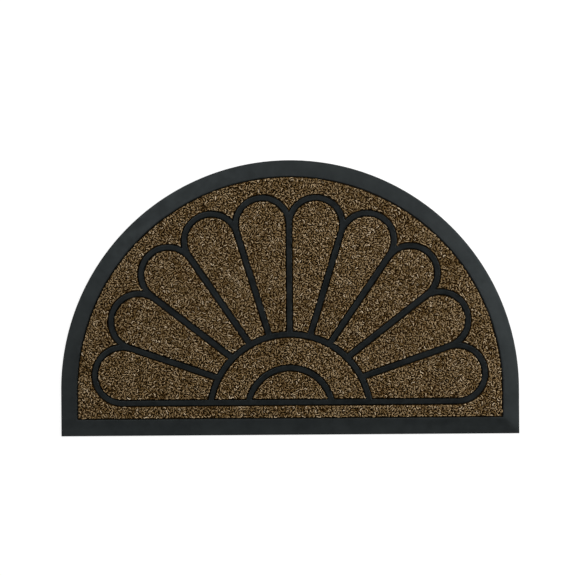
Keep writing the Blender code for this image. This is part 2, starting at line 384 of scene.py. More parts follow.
yarn, tree, shader, at = new_material("curled_yarn")
wound = place(tree, "ShaderNodeAttribute", attribute_name="wound").outputs["Vector"]
tone = place(tree, "ShaderNodeAttribute", attribute_name="tone").outputs["Fac"]
grain = use_group(tree, grain_group, At=wound, Fineness=2.2, Roughness=0.6)
streaked = calculated(tree, "MULTIPLY_ADD", grain.outputs["Speck"], STREAK_SHARE, tone)
ramp = place(tree, "ShaderNodeValToRGB", {"Fac": streaked})
ramp.color_ramp.elements[0].color = DARK_YARN
ramp.color_ramp.elements[1].color = STRAW_YARN
ramp.color_ramp.elements.new(BROWN_AT).color = BROWN_YARN
ramp.color_ramp.elements.new(TAN_AT).color = TAN_YARN

height = place(tree, "ShaderNodeSeparateXYZ", {0: at}).outputs["Z"]
reach = rescaled(tree, height, SHADE_SPAN, NONE_TO_ALL)
shade = blended(tree, reach, ROOT_SHADE, WHITE)
tree.links.new(blended(tree, 1.0, ramp.outputs["Color"], shade, "MULTIPLY"), shader.inputs["Base Color"])
rough = rescaled(tree, grain.outputs["Speck"], AROUND_ZERO, YARN_ROUGHNESS)
tree.links.new(rough, shader.inputs["Roughness"])
add_bump(tree, shader, grain.outputs["Height"], strength=0.5, distance=0.2 * MM)
shader.inputs["Specular IOR Level"].default_value = 0.04
print("Made the material curled_yarn")

# %% [markdown]
# ## The backing's and the floor's finish
#
# The backing that the yarn is set in is coarse, dull and nearly as dark as the shade between the
# curls. The floor is a white sweep, whose paint is a shade uneven. Lamps alone would leave it
# grey at its far end, so it also glows by itself, as strongly as the world behind it. Seen from
# low down, the lit floor then fades softly into the world.

# %% Materials: backing and white sweep
DARK_BACKING = (0.0140, 0.0075, 0.0018, 1.0)
BROWN_BACKING = (0.0360, 0.0205, 0.0060, 1.0)
SWEEP_GREY = (0.22, 0.22, 0.22, 1.0)

backing, tree, shader, at = new_material("pile_backing")
grain = use_group(tree, grain_group, At=at, Fineness=700.0, Roughness=0.65)
dust = use_group(tree, dust_group, At=at, Patch_Size=0.012, Cover=0.12)
colour = blended(tree, grain.outputs["Height"], DARK_BACKING, BROWN_BACKING)
colour = blended(tree, dust.outputs["Mask"], colour, GREY_DUST)
tree.links.new(colour, shader.inputs["Base Color"])
add_bump(tree, shader, grain.outputs["Height"], strength=0.8, distance=0.5 * MM)
shader.inputs["Specular IOR Level"].default_value = 0.03
shader.inputs["Roughness"].default_value = 0.9

white_sweep, tree, shader, at = new_material("white_sweep")
drift = use_group(tree, drift_group, At=at, Patch_Size=0.8, Amount=0.01)
colour = blended(tree, 1.0, SWEEP_GREY, drift.outputs["Factor"], "MULTIPLY")
tree.links.new(colour, shader.inputs["Base Color"])
shader.inputs["Roughness"].default_value = 0.8
shader.inputs["Emission Color"].default_value = WHITE
shader.inputs["Emission Strength"].default_value = BACKDROP_GLOW
print(f"Made {backing.name} and {white_sweep.name}")

# %% [markdown]
# ## The floor
#
# A plane far wider than the picture lies just under the mat, so nothing flickers where they touch.

# %% Lay the floor
FLOOR_SIZE = 60.0
UNDER_MAT = 0.3 * MM

half = FLOOR_SIZE / 2
floor_corners = [(x, y, -UNDER_MAT) for x, y in ((-half, -half), (half, -half), (half, half), (-half, half))]
floor_mesh = bpy.data.meshes.new("floor")
floor_mesh.from_pydata(floor_corners, [], [(0, 1, 2, 3)])
floor_mesh.materials.append(white_sweep)
floor = add_object("floor", floor_mesh)
print(f"The floor is {FLOOR_SIZE:.0f} m wide")

# %% [markdown]
# ## The sunburst fan as lines and arcs
#
# A maker draws the fan once, as the centre lines of its ribs, and every edge of rubber or pile
# is that drawing moved sideways. The ribs run from one point on the base rib at stated angles,
# and each petal ends in a round lobe. The right half is written down, and the left mirrors it.

# %% Sizes of the fan and of the border
ARCH_RADIUS = MAT_WIDTH / 2
FLOOR_HEIGHT = 2.5 * MM
BORDER_FOOT = 28.0 * MM
RIB_FOOT = 5.0 * MM
FAN_ABOVE_EDGE = 54.5 * MM
HUB_RADIUS, HUB_DROP = 133.4 * MM, 20.5 * MM
EYE_RADIUS, EYE_DROP = 70.4 * MM, 13.4 * MM

# The right half's petals: the angles of both sides, right of the vertical, and the tip's
# distance from the fan's centre
Petal = namedtuple("Petal", "left_angle right_angle reach")
RIGHT_PETALS = (
    Petal(left_angle=0.0, right_angle=17.1, reach=343.0 * MM),
    Petal(left_angle=17.1, right_angle=34.4, reach=343.0 * MM),
    Petal(left_angle=34.4, right_angle=52.2, reach=338.5 * MM),
    Petal(left_angle=52.2, right_angle=71.0, reach=331.0 * MM),
    Petal(left_angle=71.0, right_angle=90.0, reach=328.0 * MM),
)
ALL_PETALS = [Petal(-p.right_angle, -p.left_angle, p.reach) for p in reversed(RIGHT_PETALS)]
ALL_PETALS += RIGHT_PETALS

EDGE_Y = solid_low.y
ARCH_CENTRE = (0.0, solid_high.y - ARCH_RADIUS)
FAN_CENTRE = (0.0, EDGE_Y + FAN_ABOVE_EDGE)
HUB_CENTRE = (0.0, FAN_CENTRE[1] - HUB_DROP)
EYE_CENTRE = (0.0, FAN_CENTRE[1] - EYE_DROP)
print(f"The fan has {len(ALL_PETALS)} petals and stands {FAN_ABOVE_EDGE / MM:.1f} mm above the edge")

# %% [markdown]
# ## Moving an outline sideways
#
# We write each field's outline as straight edges and arcs, counterclockwise. Blender could
# offset a curve object, but its corners would round or pinch. Moving each edge by itself keeps
# it true: a straight edge shifts, and an arc gets a new radius.

# %% Straight edges, arcs and how they move
# An arc's side is +1 where the field lies inside its circle and -1 where it lies outside.
Line = namedtuple("Line", "start end steps")
Arc = namedtuple("Arc", "start centre radius side steps")


def moved(edge, inset):
    """Returns the edge moved sideways into its field."""
    if isinstance(edge, Arc):
        return edge._replace(radius=edge.radius - edge.side * inset)
    along_x, along_y = edge.end[0] - edge.start[0], edge.end[1] - edge.start[1]
    length = math.hypot(along_x, along_y)
    shift_x, shift_y = -along_y / length * inset, along_x / length * inset
    start = (edge.start[0] + shift_x, edge.start[1] + shift_y)
    end = (edge.end[0] + shift_x, edge.end[1] + shift_y)
    return Line(start, end, edge.steps)


example = moved(Arc((1.0, 0.0), (0.0, 0.0), 1.0, 1, 8), 0.25)
print(f"An arc of radius 1, moved in by a quarter, has radius {example.radius}")

# %% [markdown]
# ## Finding the corners again
#
# Where moved edges meet, the corner is worked out anew, which keeps the ribs the same width all
# along. Two edges may cross twice, and the crossing nearest to the old corner is the right one.

# %% Where two edges cross
def line_meets_line(first, second):
    """Returns where two straight edges cross."""
    ax, ay = first.end[0] - first.start[0], first.end[1] - first.start[1]
    bx, by = second.end[0] - second.start[0], second.end[1] - second.start[1]
    cx, cy = second.start[0] - first.start[0], second.start[1] - first.start[1]
    part = (cx * by - cy * bx) / (ax * by - ay * bx)
    return [(first.start[0] + part * ax, first.start[1] + part * ay)]


def line_meets_arc(line, arc):
    """Returns the two points where a straight edge crosses a circle."""
    ax, ay = line.end[0] - line.start[0], line.end[1] - line.start[1]
    length = math.hypot(ax, ay)
    ax, ay = ax / length, ay / length
    along = (arc.centre[0] - line.start[0]) * ax + (arc.centre[1] - line.start[1]) * ay
    foot = (line.start[0] + along * ax, line.start[1] + along * ay)
    reach = math.sqrt(max(0.0, arc.radius**2 - math.dist(arc.centre, foot) ** 2))
    return [(foot[0] + way * reach * ax, foot[1] + way * reach * ay) for way in (1, -1)]


def arc_meets_arc(first, second):
    """Returns the two points where two circles cross."""
    apart = math.dist(first.centre, second.centre)
    bx = (second.centre[0] - first.centre[0]) / apart
    by = (second.centre[1] - first.centre[1]) / apart
    along = (apart**2 + first.radius**2 - second.radius**2) / (2 * apart)
    reach = math.sqrt(max(0.0, first.radius**2 - along**2))
    foot = (first.centre[0] + along * bx, first.centre[1] + along * by)
    return [(foot[0] - way * reach * by, foot[1] + way * reach * bx) for way in (1, -1)]


def corner(first, second, near):
    """Returns the crossing of two edges that lies nearest to a point."""
    if isinstance(first, Arc) and isinstance(second, Arc):
        found = arc_meets_arc(first, second)
    elif isinstance(first, Arc):
        found = line_meets_arc(second, first)
    elif isinstance(second, Arc):
        found = line_meets_arc(first, second)
    else:
        found = line_meets_line(first, second)
    return min(found, key=lambda point: math.dist(point, near))


level, upright = Line((0.0, 0.0), (1.0, 0.0), 1), Line((0.5, -1.0), (0.5, 1.0), 1)
print(f"A level and an upright edge cross at {corner(level, upright, (0.5, 0.0))}")

# %% [markdown]
# ## Tracing a ring of points
#
# Each edge gives its own number of points, however far it is moved, so rings traced at two
# distances have the same count and can be skinned point to point.

# %% Trace an outline at any distance
def edge_points(edge, start, end):
    """Returns an edge's points from its start up to, but without, its end."""
    parts = [step / edge.steps for step in range(edge.steps)]
    if isinstance(edge, Line):
        return [(start[0] + p * (end[0] - start[0]), start[1] + p * (end[1] - start[1])) for p in parts]
    first = math.atan2(start[1] - edge.centre[1], start[0] - edge.centre[0])
    last = math.atan2(end[1] - edge.centre[1], end[0] - edge.centre[0])
    sweep = (last - first) * edge.side % math.tau * edge.side
    angles = [first + sweep * step / edge.steps for step in range(edge.steps)]
    x, y = edge.centre
    return [(x + edge.radius * math.cos(a), y + edge.radius * math.sin(a)) for a in angles]


def trace(outline, inset, whole_lines=False):
    """Returns an outline's ring of points, moved into its field by the inset.

    Whole lines have no points between their ends.
    """
    edges = [moved(edge, inset) for edge in outline]
    if whole_lines:
        edges = [edge._replace(steps=1) if isinstance(edge, Line) else edge for edge in edges]
    corners = [corner(edges[i - 1], edge, outline[i].start) for i, edge in enumerate(edges)]
    ring = []
    for index, edge in enumerate(edges):
        ring += edge_points(edge, corners[index], corners[(index + 1) % len(corners)])
    return ring


EDGE_STEPS, SIDE_STEPS, ARCH_STEPS = 96, 10, 220


def mat_outline():
    """Returns the mat's own edge: the straight edge, two short sides and the arch."""
    left, right, spring_y = -MAT_WIDTH / 2, MAT_WIDTH / 2, ARCH_CENTRE[1]
    return [
        Line((left, EDGE_Y), (right, EDGE_Y), EDGE_STEPS),
        Line((right, EDGE_Y), (right, spring_y), SIDE_STEPS),
        Arc((right, spring_y), ARCH_CENTRE, ARCH_RADIUS, 1, ARCH_STEPS),
        Line((left, spring_y), (left, EDGE_Y), SIDE_STEPS),
    ]


print(f"The mat's edge has {len(trace(mat_outline(), 0.0))} points")

# %% [markdown]
# ## The fields between the ribs
#
# The ribs part the pile into ten petals, a ring and a centre in the hub, and the surround. A
# lobe is the circle that touches both sides of its petal and reaches its tip, so one angle
# and one distance give its centre and radius.

# %% Outlines of the petals, the hub and the fan
RIB_STEPS, LOBE_STEPS, BASE_STEPS = 26, 44, 84
HUB_STEPS, EYE_STEPS, HUB_UNDER_PETAL_STEPS = 96, 60, 10
RING_FOOT_STEPS, EYE_FOOT_STEPS = 8, 18


def towards(angle, distance):
    """Returns the point at a distance from the fan's centre, at degrees right of the vertical."""
    turn = math.radians(angle)
    return (FAN_CENTRE[0] + distance * math.sin(turn), FAN_CENTRE[1] + distance * math.cos(turn))


def lobe(petal):
    """Returns a petal's round end: the circle that touches both sides and reaches the tip."""
    spread = math.sin(math.radians(petal.right_angle - petal.left_angle) / 2)
    distance = petal.reach / (1 + spread)
    centre = towards((petal.left_angle + petal.right_angle) / 2, distance)
    return Arc(towards(petal.right_angle, petal.reach), centre, distance * spread, 1, LOBE_STEPS)


def petal_outline(petal):
    """Returns a petal: out along its right side, round its lobe, back, and along the hub."""
    hub_left, hub_right = (towards(angle, HUB_RADIUS - HUB_DROP) for angle in petal[:2])
    tip_left, tip_right = (towards(angle, petal.reach) for angle in petal[:2])
    hub = Arc(hub_left, HUB_CENTRE, HUB_RADIUS, -1, HUB_UNDER_PETAL_STEPS)
    up, down = Line(hub_right, tip_right, RIB_STEPS), Line(tip_left, hub_left, RIB_STEPS)
    return [up, lobe(petal), down, hub]


def base_line(start_x, end_x, steps):
    """Returns a stretch of the base rib's centre line, with the field above it."""
    return Line((start_x, FAN_CENTRE[1]), (end_x, FAN_CENTRE[1]), steps)


def hub_ring_outline():
    """Returns the arch-shaped field between the two hub arcs."""
    return [
        base_line(EYE_RADIUS, HUB_RADIUS, RING_FOOT_STEPS),
        Arc((HUB_RADIUS, FAN_CENTRE[1]), HUB_CENTRE, HUB_RADIUS, 1, HUB_STEPS),
        base_line(-HUB_RADIUS, -EYE_RADIUS, RING_FOOT_STEPS),
        Arc((-EYE_RADIUS, FAN_CENTRE[1]), EYE_CENTRE, EYE_RADIUS, -1, EYE_STEPS),
    ]


def hub_centre_outline():
    """Returns the small field under the inner hub arc."""
    eye = Arc((EYE_RADIUS, FAN_CENTRE[1]), EYE_CENTRE, EYE_RADIUS, 1, EYE_STEPS)
    return [base_line(-EYE_RADIUS, EYE_RADIUS, EYE_FOOT_STEPS), eye]


def fan_outline():
    """Returns the fan's silhouette: the base rib and then the ten lobes from right to left."""
    outermost = RIGHT_PETALS[-1].reach
    lobes = [lobe(petal) for petal in reversed(ALL_PETALS)]
    return [base_line(-outermost, outermost, BASE_STEPS), *lobes]


WELLS = {f"petal_{number:02d}": petal_outline(petal) for number, petal in enumerate(ALL_PETALS, start=1)}
WELLS["hub_ring"] = hub_ring_outline()
WELLS["hub_centre"] = hub_centre_outline()
FIELDS = [*WELLS, "surround"]


def field_rings(name, inset, whole_lines=False):
    """Returns the rings that bound a field, moved inwards from the feet of its ribs."""
    if name in WELLS:
        return [trace(WELLS[name], RIB_FOOT + inset, whole_lines)]
    outer = trace(mat_outline(), BORDER_FOOT + inset, whole_lines)
    return [outer, trace(fan_outline(), -RIB_FOOT - inset, whole_lines)]


print(f"{len(FIELDS)} fields: {', '.join(FIELDS)}")

# %% [markdown]
# ## The rubber moulding's sections
#
# The tray is one piece of rubber: a flat sheet with a border that rises from a thin rounded lip
# to a crest, and ribs with rounded shoulders. It could be sculpted or cut with Booleans, but a
# moulding is the same section carried along its outline. So a section is a list of rings, and it
# has more of them than the plain solid, for the true round form of lip, crest and shoulders.

# %% The tray's sections
# Each row is a ring: its distance inwards, its height, and how pale its rubber is painted, partly by wear
# and partly by painted shade that darkens the border from its lip to its crest.
Ring = namedtuple("Ring", "inset height wear")
# From the lip to the crest these values fall, which paints shade into the border's colour.
LIP_WEAR_AND_SHADE, CREST_WEAR_AND_SHADE = 1.20, 0.72
BORDER_SECTION = (
    Ring(0.6 * MM, 0.00 * MM, LIP_WEAR_AND_SHADE),
    Ring(0.2 * MM, 0.20 * MM, LIP_WEAR_AND_SHADE),
    Ring(0.0 * MM, 0.60 * MM, LIP_WEAR_AND_SHADE),
    Ring(0.0 * MM, 1.40 * MM, LIP_WEAR_AND_SHADE),
    Ring(0.15 * MM, 1.95 * MM, LIP_WEAR_AND_SHADE),
    Ring(0.5 * MM, 2.40 * MM, LIP_WEAR_AND_SHADE),
    Ring(1.0 * MM, 2.68 * MM, LIP_WEAR_AND_SHADE),
    Ring(1.8 * MM, 2.90 * MM, LIP_WEAR_AND_SHADE),
    Ring(3.0 * MM, 3.10 * MM, LIP_WEAR_AND_SHADE),
    Ring(9.0 * MM, 3.97 * MM, 1.04),
    Ring(13.0 * MM, 4.57 * MM, 0.93),
    Ring(17.0 * MM, 5.19 * MM, 0.82),
    Ring(20.0 * MM, 5.67 * MM, 0.74),
    Ring(23.0 * MM, 6.12 * MM, CREST_WEAR_AND_SHADE),
    Ring(25.3 * MM, 6.46 * MM, CREST_WEAR_AND_SHADE),
    Ring(26.0 * MM, 6.50 * MM, CREST_WEAR_AND_SHADE),
    Ring(26.6 * MM, 6.45 * MM, CREST_WEAR_AND_SHADE),
    Ring(27.2 * MM, 6.15 * MM, CREST_WEAR_AND_SHADE),
    Ring(27.6 * MM, 5.50 * MM, CREST_WEAR_AND_SHADE),
    Ring(27.9 * MM, 4.30 * MM, CREST_WEAR_AND_SHADE),
    Ring(BORDER_FOOT, FLOOR_HEIGHT, CREST_WEAR_AND_SHADE),
)
RIB_SECTION = (
    Ring(RIB_FOOT, FLOOR_HEIGHT, 0.0),
    Ring(4.7 * MM, 4.0 * MM, 0.0),
    Ring(4.45 * MM, 5.4 * MM, 0.0),
    Ring(4.2 * MM, 5.95 * MM, 0.0),
    Ring(3.9 * MM, 6.3 * MM, 0.0),
    Ring(3.5 * MM, 6.46 * MM, 0.0),
    Ring(3.0 * MM, RIB_HEIGHT, 0.0),
    Ring(2.0 * MM, RIB_HEIGHT, 0.0),
)
print(f"Sections: {len(BORDER_SECTION)} rings across the border, {len(RIB_SECTION)} up a rib's flank")

# %% [markdown]
# ## Skinning the tray
#
# The outline is traced once for each ring of a section, and each ring is joined to the next by
# four-sided faces. What is level, such as the floor of a well or the tops of the ribs, is filled
# between rings. The result is one closed mesh, as the real moulding is one piece.

# %% Skin the sections into the tray
SHARP_RUBBER = math.radians(50)


def add_rings(mesh, wear_and_shade_layer, outline, section, direction=1):
    """Adds a ring of points for each row of a section and skins them."""
    rings = []
    for row in section:
        ring = [mesh.verts.new((x, y, row.height)) for x, y in trace(outline, direction * row.inset)]
        for vert in ring:
            vert[wear_and_shade_layer] = row.wear
        rings.append(ring)
    for low, high in zip(rings, rings[1:]):
        for index in range(len(low)):
            after = (index + 1) % len(low)
            mesh.faces.new((low[index], low[after], high[after], high[index]))
    return rings


def fill_between(mesh, rings, normal):
    """Fills the level area that lies inside the first ring and outside the others."""
    edges = []
    for ring in rings:
        for index, vert in enumerate(ring):
            edges.append(mesh.edges.get((vert, ring[(index + 1) % len(ring)])))
    bmesh.ops.triangle_fill(mesh, edges=edges, normal=normal, use_beauty=True)


def make_tray():
    """Builds the whole moulding as one closed mesh."""
    mesh = bmesh.new()
    wear_and_shade_layer = mesh.verts.layers.float.new("wear")
    border = add_rings(mesh, wear_and_shade_layer, mat_outline(), BORDER_SECTION)
    fill_between(mesh, [border[0]], (0, 0, -1))
    fan = add_rings(mesh, wear_and_shade_layer, fan_outline(), RIB_SECTION, direction=-1)
    fill_between(mesh, [border[-1], fan[0]], (0, 0, 1))
    tops = [fan[-1]]
    for outline in WELLS.values():
        well = add_rings(mesh, wear_and_shade_layer, outline, RIB_SECTION)
        fill_between(mesh, [well[0]], (0, 0, 1))
        tops.append(well[-1])
    fill_between(mesh, tops, (0, 0, 1))
    bmesh.ops.recalc_face_normals(mesh, faces=mesh.faces)
    data = bpy.data.meshes.new("rubber_moulding")
    mesh.to_mesh(data)
    mesh.free()
    data.shade_smooth()
    data.set_sharp_from_angle(angle=SHARP_RUBBER)
    data.materials.append(rubber)
    return add_object("rubber_moulding", data)


tray = make_tray()
print(f"The tray has {len(tray.data.vertices)} points and {len(tray.data.polygons)} faces")

# %% [markdown]
# ## How far inside a field a point lies
#
# Backing and curls both have to stay clear of the rubber, so one function measures many points
# at once: how far each is from the nearest edge of its field, negative outside, and which way
# leads inwards. Blender's BVH trees can find distances too, but plain arrays are quick in 2-D.

# %% Measure clearance, area and grids
CHUNK = 4096
NOT_ZERO = 1e-9


def clearance(points, rings):
    """Returns each point's distance inside the rings, negative outside, and the way inwards."""
    starts = np.concatenate([np.array(ring) for ring in rings])
    ends = np.concatenate([np.roll(np.array(ring), -1, axis=0) for ring in rings])
    run = ends - starts
    length = (run**2).sum(1)
    depth, way = np.empty(len(points)), np.empty((len(points), 2))
    for first in range(0, len(points), CHUNK):
        some = points[first : first + CHUNK]
        off_start = some[:, None] - starts
        part = ((off_start * run).sum(2) / length).clip(0, 1)
        off = off_start - part[:, :, None] * run
        nearest = (off**2).sum(2).argmin(1)
        off = off[np.arange(len(some)), nearest]
        above = starts[:, 1] > some[:, 1:]
        crosses = above != (ends[:, 1] > some[:, 1:])
        with np.errstate(divide="ignore", invalid="ignore"):
            cut_x = starts[:, 0] + run[:, 0] * (some[:, 1:] - starts[:, 1]) / run[:, 1]
        inside = (crosses & (some[:, :1] < cut_x)).sum(1) % 2 * 2 - 1
        size = np.sqrt((off**2).sum(1))
        depth[first : first + CHUNK] = size * inside
        way[first : first + CHUNK] = off * (inside / np.maximum(size, NOT_ZERO))[:, None]
    return depth, way


def ring_area(ring):
    """Returns the area inside a ring, by the shoelace rule."""
    x, y = np.array(ring).T
    return abs(float(np.dot(x, np.roll(y, -1)) - np.dot(y, np.roll(x, -1)))) / 2


def scattered(rings, spacing, margin, random, jitter):
    """Returns jittered points of a honeycomb grid that lie at least a margin inside the rings."""
    rim = np.concatenate([np.array(ring) for ring in rings])
    low, high = rim.min(0), rim.max(0)
    row_gap = spacing * math.sqrt(3) / 2
    rows, columns = int((high[1] - low[1]) / row_gap) + 2, int((high[0] - low[0]) / spacing) + 2
    row, column = (grid.ravel() for grid in np.mgrid[0:rows, 0:columns])
    points = np.stack([low[0] + (column + 0.5 * (row % 2)) * spacing, low[1] + row * row_gap], 1)
    points += random.uniform(-jitter, jitter, points.shape) * spacing
    return points[clearance(points, rings)[0] > margin]


print(f"The mat's edge encloses {ring_area(trace(mat_outline(), 0.0)):.3f} square metres")

# %% [markdown]
# ## Patches that every piece shares
#
# A worn pile lies a little higher here and a little paler there, in patches a few centimetres
# wide. A sum of slow waves in random directions gives such patches, and because it depends on
# the place alone, neighbouring pieces agree where they meet.

# %% Slow patches across the mat
PATCH_SEED = 7
PATCH_COUNT = 24
PATCH_SCALE = 0.018
PATCH_CALM = 1.6

patch_random = np.random.default_rng(PATCH_SEED)
PATCH_WAVES = patch_random.normal(0.0, 1.0, (PATCH_COUNT, 2)) / PATCH_SCALE
PATCH_STARTS = patch_random.uniform(0.0, math.tau, PATCH_COUNT)


def patches(points):
    """Returns a smooth uneven field, about -1 to 1, the same for every piece of the mat."""
    waves = np.sin(points @ PATCH_WAVES.T + PATCH_STARTS).sum(1)
    return waves / math.sqrt(PATCH_COUNT / 2) / PATCH_CALM


print(f"{PATCH_COUNT} waves make the patches")

# %% [markdown]
# ## The backing under the pile
#
# The pile grows from a thin backing, cut from one sheet and parted by the ribs into thirteen
# fields. From above only dark glimpses of it show between the curls. One could leave it out and
# paint the floor of the wells, but a real sheet with an uneven top gives the gaps their depth.
# Its points lie on a grid inside each field, and a Delaunay triangulation joins them to the rim.

# %% Build one field of the backing
BACKING_UNDERSIDE = 2.8 * MM
BACKING_RIM = 3.2 * MM
BACKING_TOP = 4.2 * MM
BACKING_LUMP = 0.5 * MM
BACKING_GRID = 4.6 * MM
BACKING_MARGIN = 1.5 * MM
BACKING_SLOPE = 2.5 * MM
BACKING_JITTER = 0.25
LUMPS_PER_PATCH = 6.0
LUMP_SPREAD = 0.5
BACKING_SEED = 100
PIECE_GAP = 0.3 * MM
WELD = 1e-7


def filled(rings, inner):
    """Triangulates the area between rings through the inner points, and returns both."""
    places = np.concatenate([*(np.array(ring) for ring in rings), inner])
    edges, first = [], 0
    for ring in rings:
        edges += [(first + i, first + (i + 1) % len(ring)) for i in range(len(ring))]
        first += len(ring)
    found = delaunay_2d_cdt([tuple(p) for p in places], edges, [], 0, WELD)
    points, faces = np.array([tuple(p) for p in found[0]]), np.array(found[2])
    return points, faces[clearance(points[faces].mean(1), rings)[0] > 0]


def backing_field(name, random):
    """Returns the points and faces of one field's backing, closed all round."""
    rings = field_rings(name, PIECE_GAP, whole_lines=True)
    inner = scattered(rings, BACKING_GRID, BACKING_MARGIN, random, BACKING_JITTER)
    top, top_faces = filled(rings, inner)
    low, low_faces = filled(rings, np.empty((0, 2)))
    rise = np.clip(clearance(top, rings)[0] / BACKING_SLOPE, 0, 1)
    lumps = patches(top * LUMPS_PER_PATCH) + random.normal(0, LUMP_SPREAD, len(top))
    lumps = BACKING_LUMP * lumps
    top = np.column_stack([top, BACKING_RIM + rise * (BACKING_TOP - BACKING_RIM + lumps)])
    low = np.column_stack([low, np.full(len(low), BACKING_UNDERSIDE)])
    sides, first = [], 0
    for ring in rings:
        here = np.arange(len(ring))
        after = (here + 1) % len(ring)
        below = len(top) + first
        sides += [(first + a, first + b, below + b, below + a) for a, b in zip(here, after)]
        first += len(ring)
    low_faces = (tuple(face[::-1] + len(top)) for face in low_faces)
    return np.concatenate([top, low]), [*map(tuple, top_faces), *low_faces, *sides]


example, _ = backing_field(FIELDS[0], np.random.default_rng(BACKING_SEED))
print(f"The backing of {FIELDS[0]} has {len(example)} points")

# %% [markdown]
# ## Joining the backing
#
# In the workshop one blank gives all thirteen fields, so here they are one object, which is
# later declared as one sheet of cloth.

# %% Join the fields of the backing
SHARP_BACKING = math.radians(60)


def make_backing():
    """Joins the backing of all fields into one sheet."""
    points, faces, count = [], [], 0
    for number, name in enumerate(FIELDS):
        some, their_faces = backing_field(name, np.random.default_rng(BACKING_SEED + number))
        points.append(some)
        faces += [tuple(int(i) + count for i in face) for face in their_faces]
        count += len(some)
    data = bpy.data.meshes.new("pile_backing")
    data.from_pydata(np.concatenate(points).tolist(), [], faces)
    mesh = bmesh.new()
    mesh.from_mesh(data)
    bmesh.ops.recalc_face_normals(mesh, faces=mesh.faces)
    mesh.to_mesh(data)
    mesh.free()
    data.shade_smooth()
    data.set_sharp_from_angle(angle=SHARP_BACKING)
    data.materials.append(backing)
    return add_object("pile_backing", data)


backing_sheet = make_backing()
print(f"The backing has {len(backing_sheet.data.polygons)} faces")

# %% [markdown]
# ## The line of a curl
#
# Each tuft of the pile is a thick yarn that climbs from the backing, bends over and curls round
# near the top. Blender's hair could grow such tufts, but a mesh made from arrays keeps its
# shape everywhere, and numpy handles all the curls of a field at once. A curl's line is walked
# step by step with a heading that turns. Then it is lifted: about half the curls stay low, so
# the pile has two layers, and each end droops or stands up a little.

# %% Walk and lift the lines of the curls
STEPS = 8
TURNS = (1.5, 5.5)
WOBBLE = 0.9
LIFTS = np.array([0.0, 0.55, 0.90, 1.0, 1.0, 1.0, 1.0, 0.96, 0.80])
ROOT_HEIGHT = 3.0 * MM
TOP_HEIGHT = 8.5 * MM
LOW_HEIGHT = 6.7 * MM
HILLS_PER_PATCH = 3.0
HILL_MM = 0.25
UNEVEN_MM = 0.6
STEP_UNEVEN_MM = 0.2
END_DROOP_MM, END_RISE_MM = -1.2, 0.6


def walked(middles, travel, random):
    """Returns the points that each curl's line passes through, curled about its middle."""
    count = len(middles)
    turn = random.uniform(*TURNS, count) * random.choice([-1.0, 1.0], count)
    wave = random.normal(0.0, WOBBLE, count)
    begin, phase = random.uniform(0, math.tau, (2, count))
    along = (np.arange(STEPS) + 0.5) / STEPS
    heading = begin[:, None] + turn[:, None] * along
    heading += wave[:, None] * np.sin(math.tau * along + phase[:, None])
    line = np.zeros((count, STEPS + 1, 3))
    line[:, 1:, 0] = np.cumsum(travel[:, None] / STEPS * np.cos(heading), axis=1)
    line[:, 1:, 1] = np.cumsum(travel[:, None] / STEPS * np.sin(heading), axis=1)
    line[:, :, :2] += (middles - line[:, 2:, :2].mean(1))[:, None]
    return line


def lifted(line, is_low, random):
    """Raises each line from its root to its own height, and lets its end droop or stand up."""
    count = len(line)
    uneven = HILL_MM * patches(line[:, :, :2].mean(1) * HILLS_PER_PATCH)
    uneven += random.uniform(-UNEVEN_MM, UNEVEN_MM, count)
    top = np.where(is_low, LOW_HEIGHT, TOP_HEIGHT) + MM * uneven
    line[:, :, 2] = ROOT_HEIGHT + (top - ROOT_HEIGHT)[:, None] * LIFTS
    line[:, 2:-1, 2] += random.normal(0.0, STEP_UNEVEN_MM, (count, STEPS - 2)) * MM
    line[:, -1, 2] += random.uniform(END_DROOP_MM, END_RISE_MM, count) * MM
    return line


print(f"A curl has {STEPS} steps, and the layers lie at {LOW_HEIGHT / MM:.1f} and {TOP_HEIGHT / MM:.1f} mm")

# %% [markdown]
# ## Finding the crowd
#
# Real yarns can't share a place: they push each other aside until they lie evenly. Testing every
# pair of curls would be slow. Instead all points are counted into a fine grid, the grid is
# blurred into a smooth hill wherever there is a crowd, and each point learns which way is uphill.
# The rubber counts as a crowd too, so a band of fixed points stands just outside each field.

# %% The slope of the crowd, and the rubber walls
CELL = 0.7 * MM
NEAR_REACH, FAR_REACH = 1.15 * MM, 3.2 * MM
FAR_SHARE = 3.0
WALL_SPACING = 1.0 * MM
WALL_ROWS = 4


def crowding_slope(spots, weights, shape):
    """Returns the uphill slope of the blurred crowd of weighted points, at each point."""
    cells = np.floor(spots).astype(int)
    index = cells[:, 0] * shape[1] + cells[:, 1]
    crowd = np.bincount(index, weights, shape[0] * shape[1]).reshape(shape)
    across, along = np.fft.fftfreq(shape[0])[:, None], np.fft.rfftfreq(shape[1])[None]
    waves = 2 * (math.pi / CELL) ** 2 * (across**2 + along**2)
    blur = np.exp(-waves * NEAR_REACH**2) + FAR_SHARE * np.exp(-waves * FAR_REACH**2)
    crowd = np.fft.rfft2(crowd) * blur
    slopes = [np.fft.irfft2(crowd * 2j * math.pi * axis, s=shape) for axis in (across, along)]
    return np.stack([slope.ravel()[index] for slope in slopes], 1)


def wall_points(rings):
    """Returns evenly spaced points in a band just outside a field, where the rubber stands."""
    found = []
    for number, ring in enumerate(rings):
        ring = np.array(ring)
        run = np.roll(ring, -1, 0) - ring
        length = np.linalg.norm(run, axis=1)
        way = np.stack([run[:, 1], -run[:, 0]], 1) / length[:, None] * (1 if number == 0 else -1)
        for start, step, size, out in zip(ring, run, length, way):
            parts = np.arange(0, 1, WALL_SPACING / size)[:, None]
            for row in range(WALL_ROWS):
                found.append(start + parts * step + (row + 0.5) * WALL_SPACING * out)
    return np.concatenate(found)


print(f"{FIELDS[0]} has {len(wall_points(field_rings(FIELDS[0], 0.0)))} wall points")

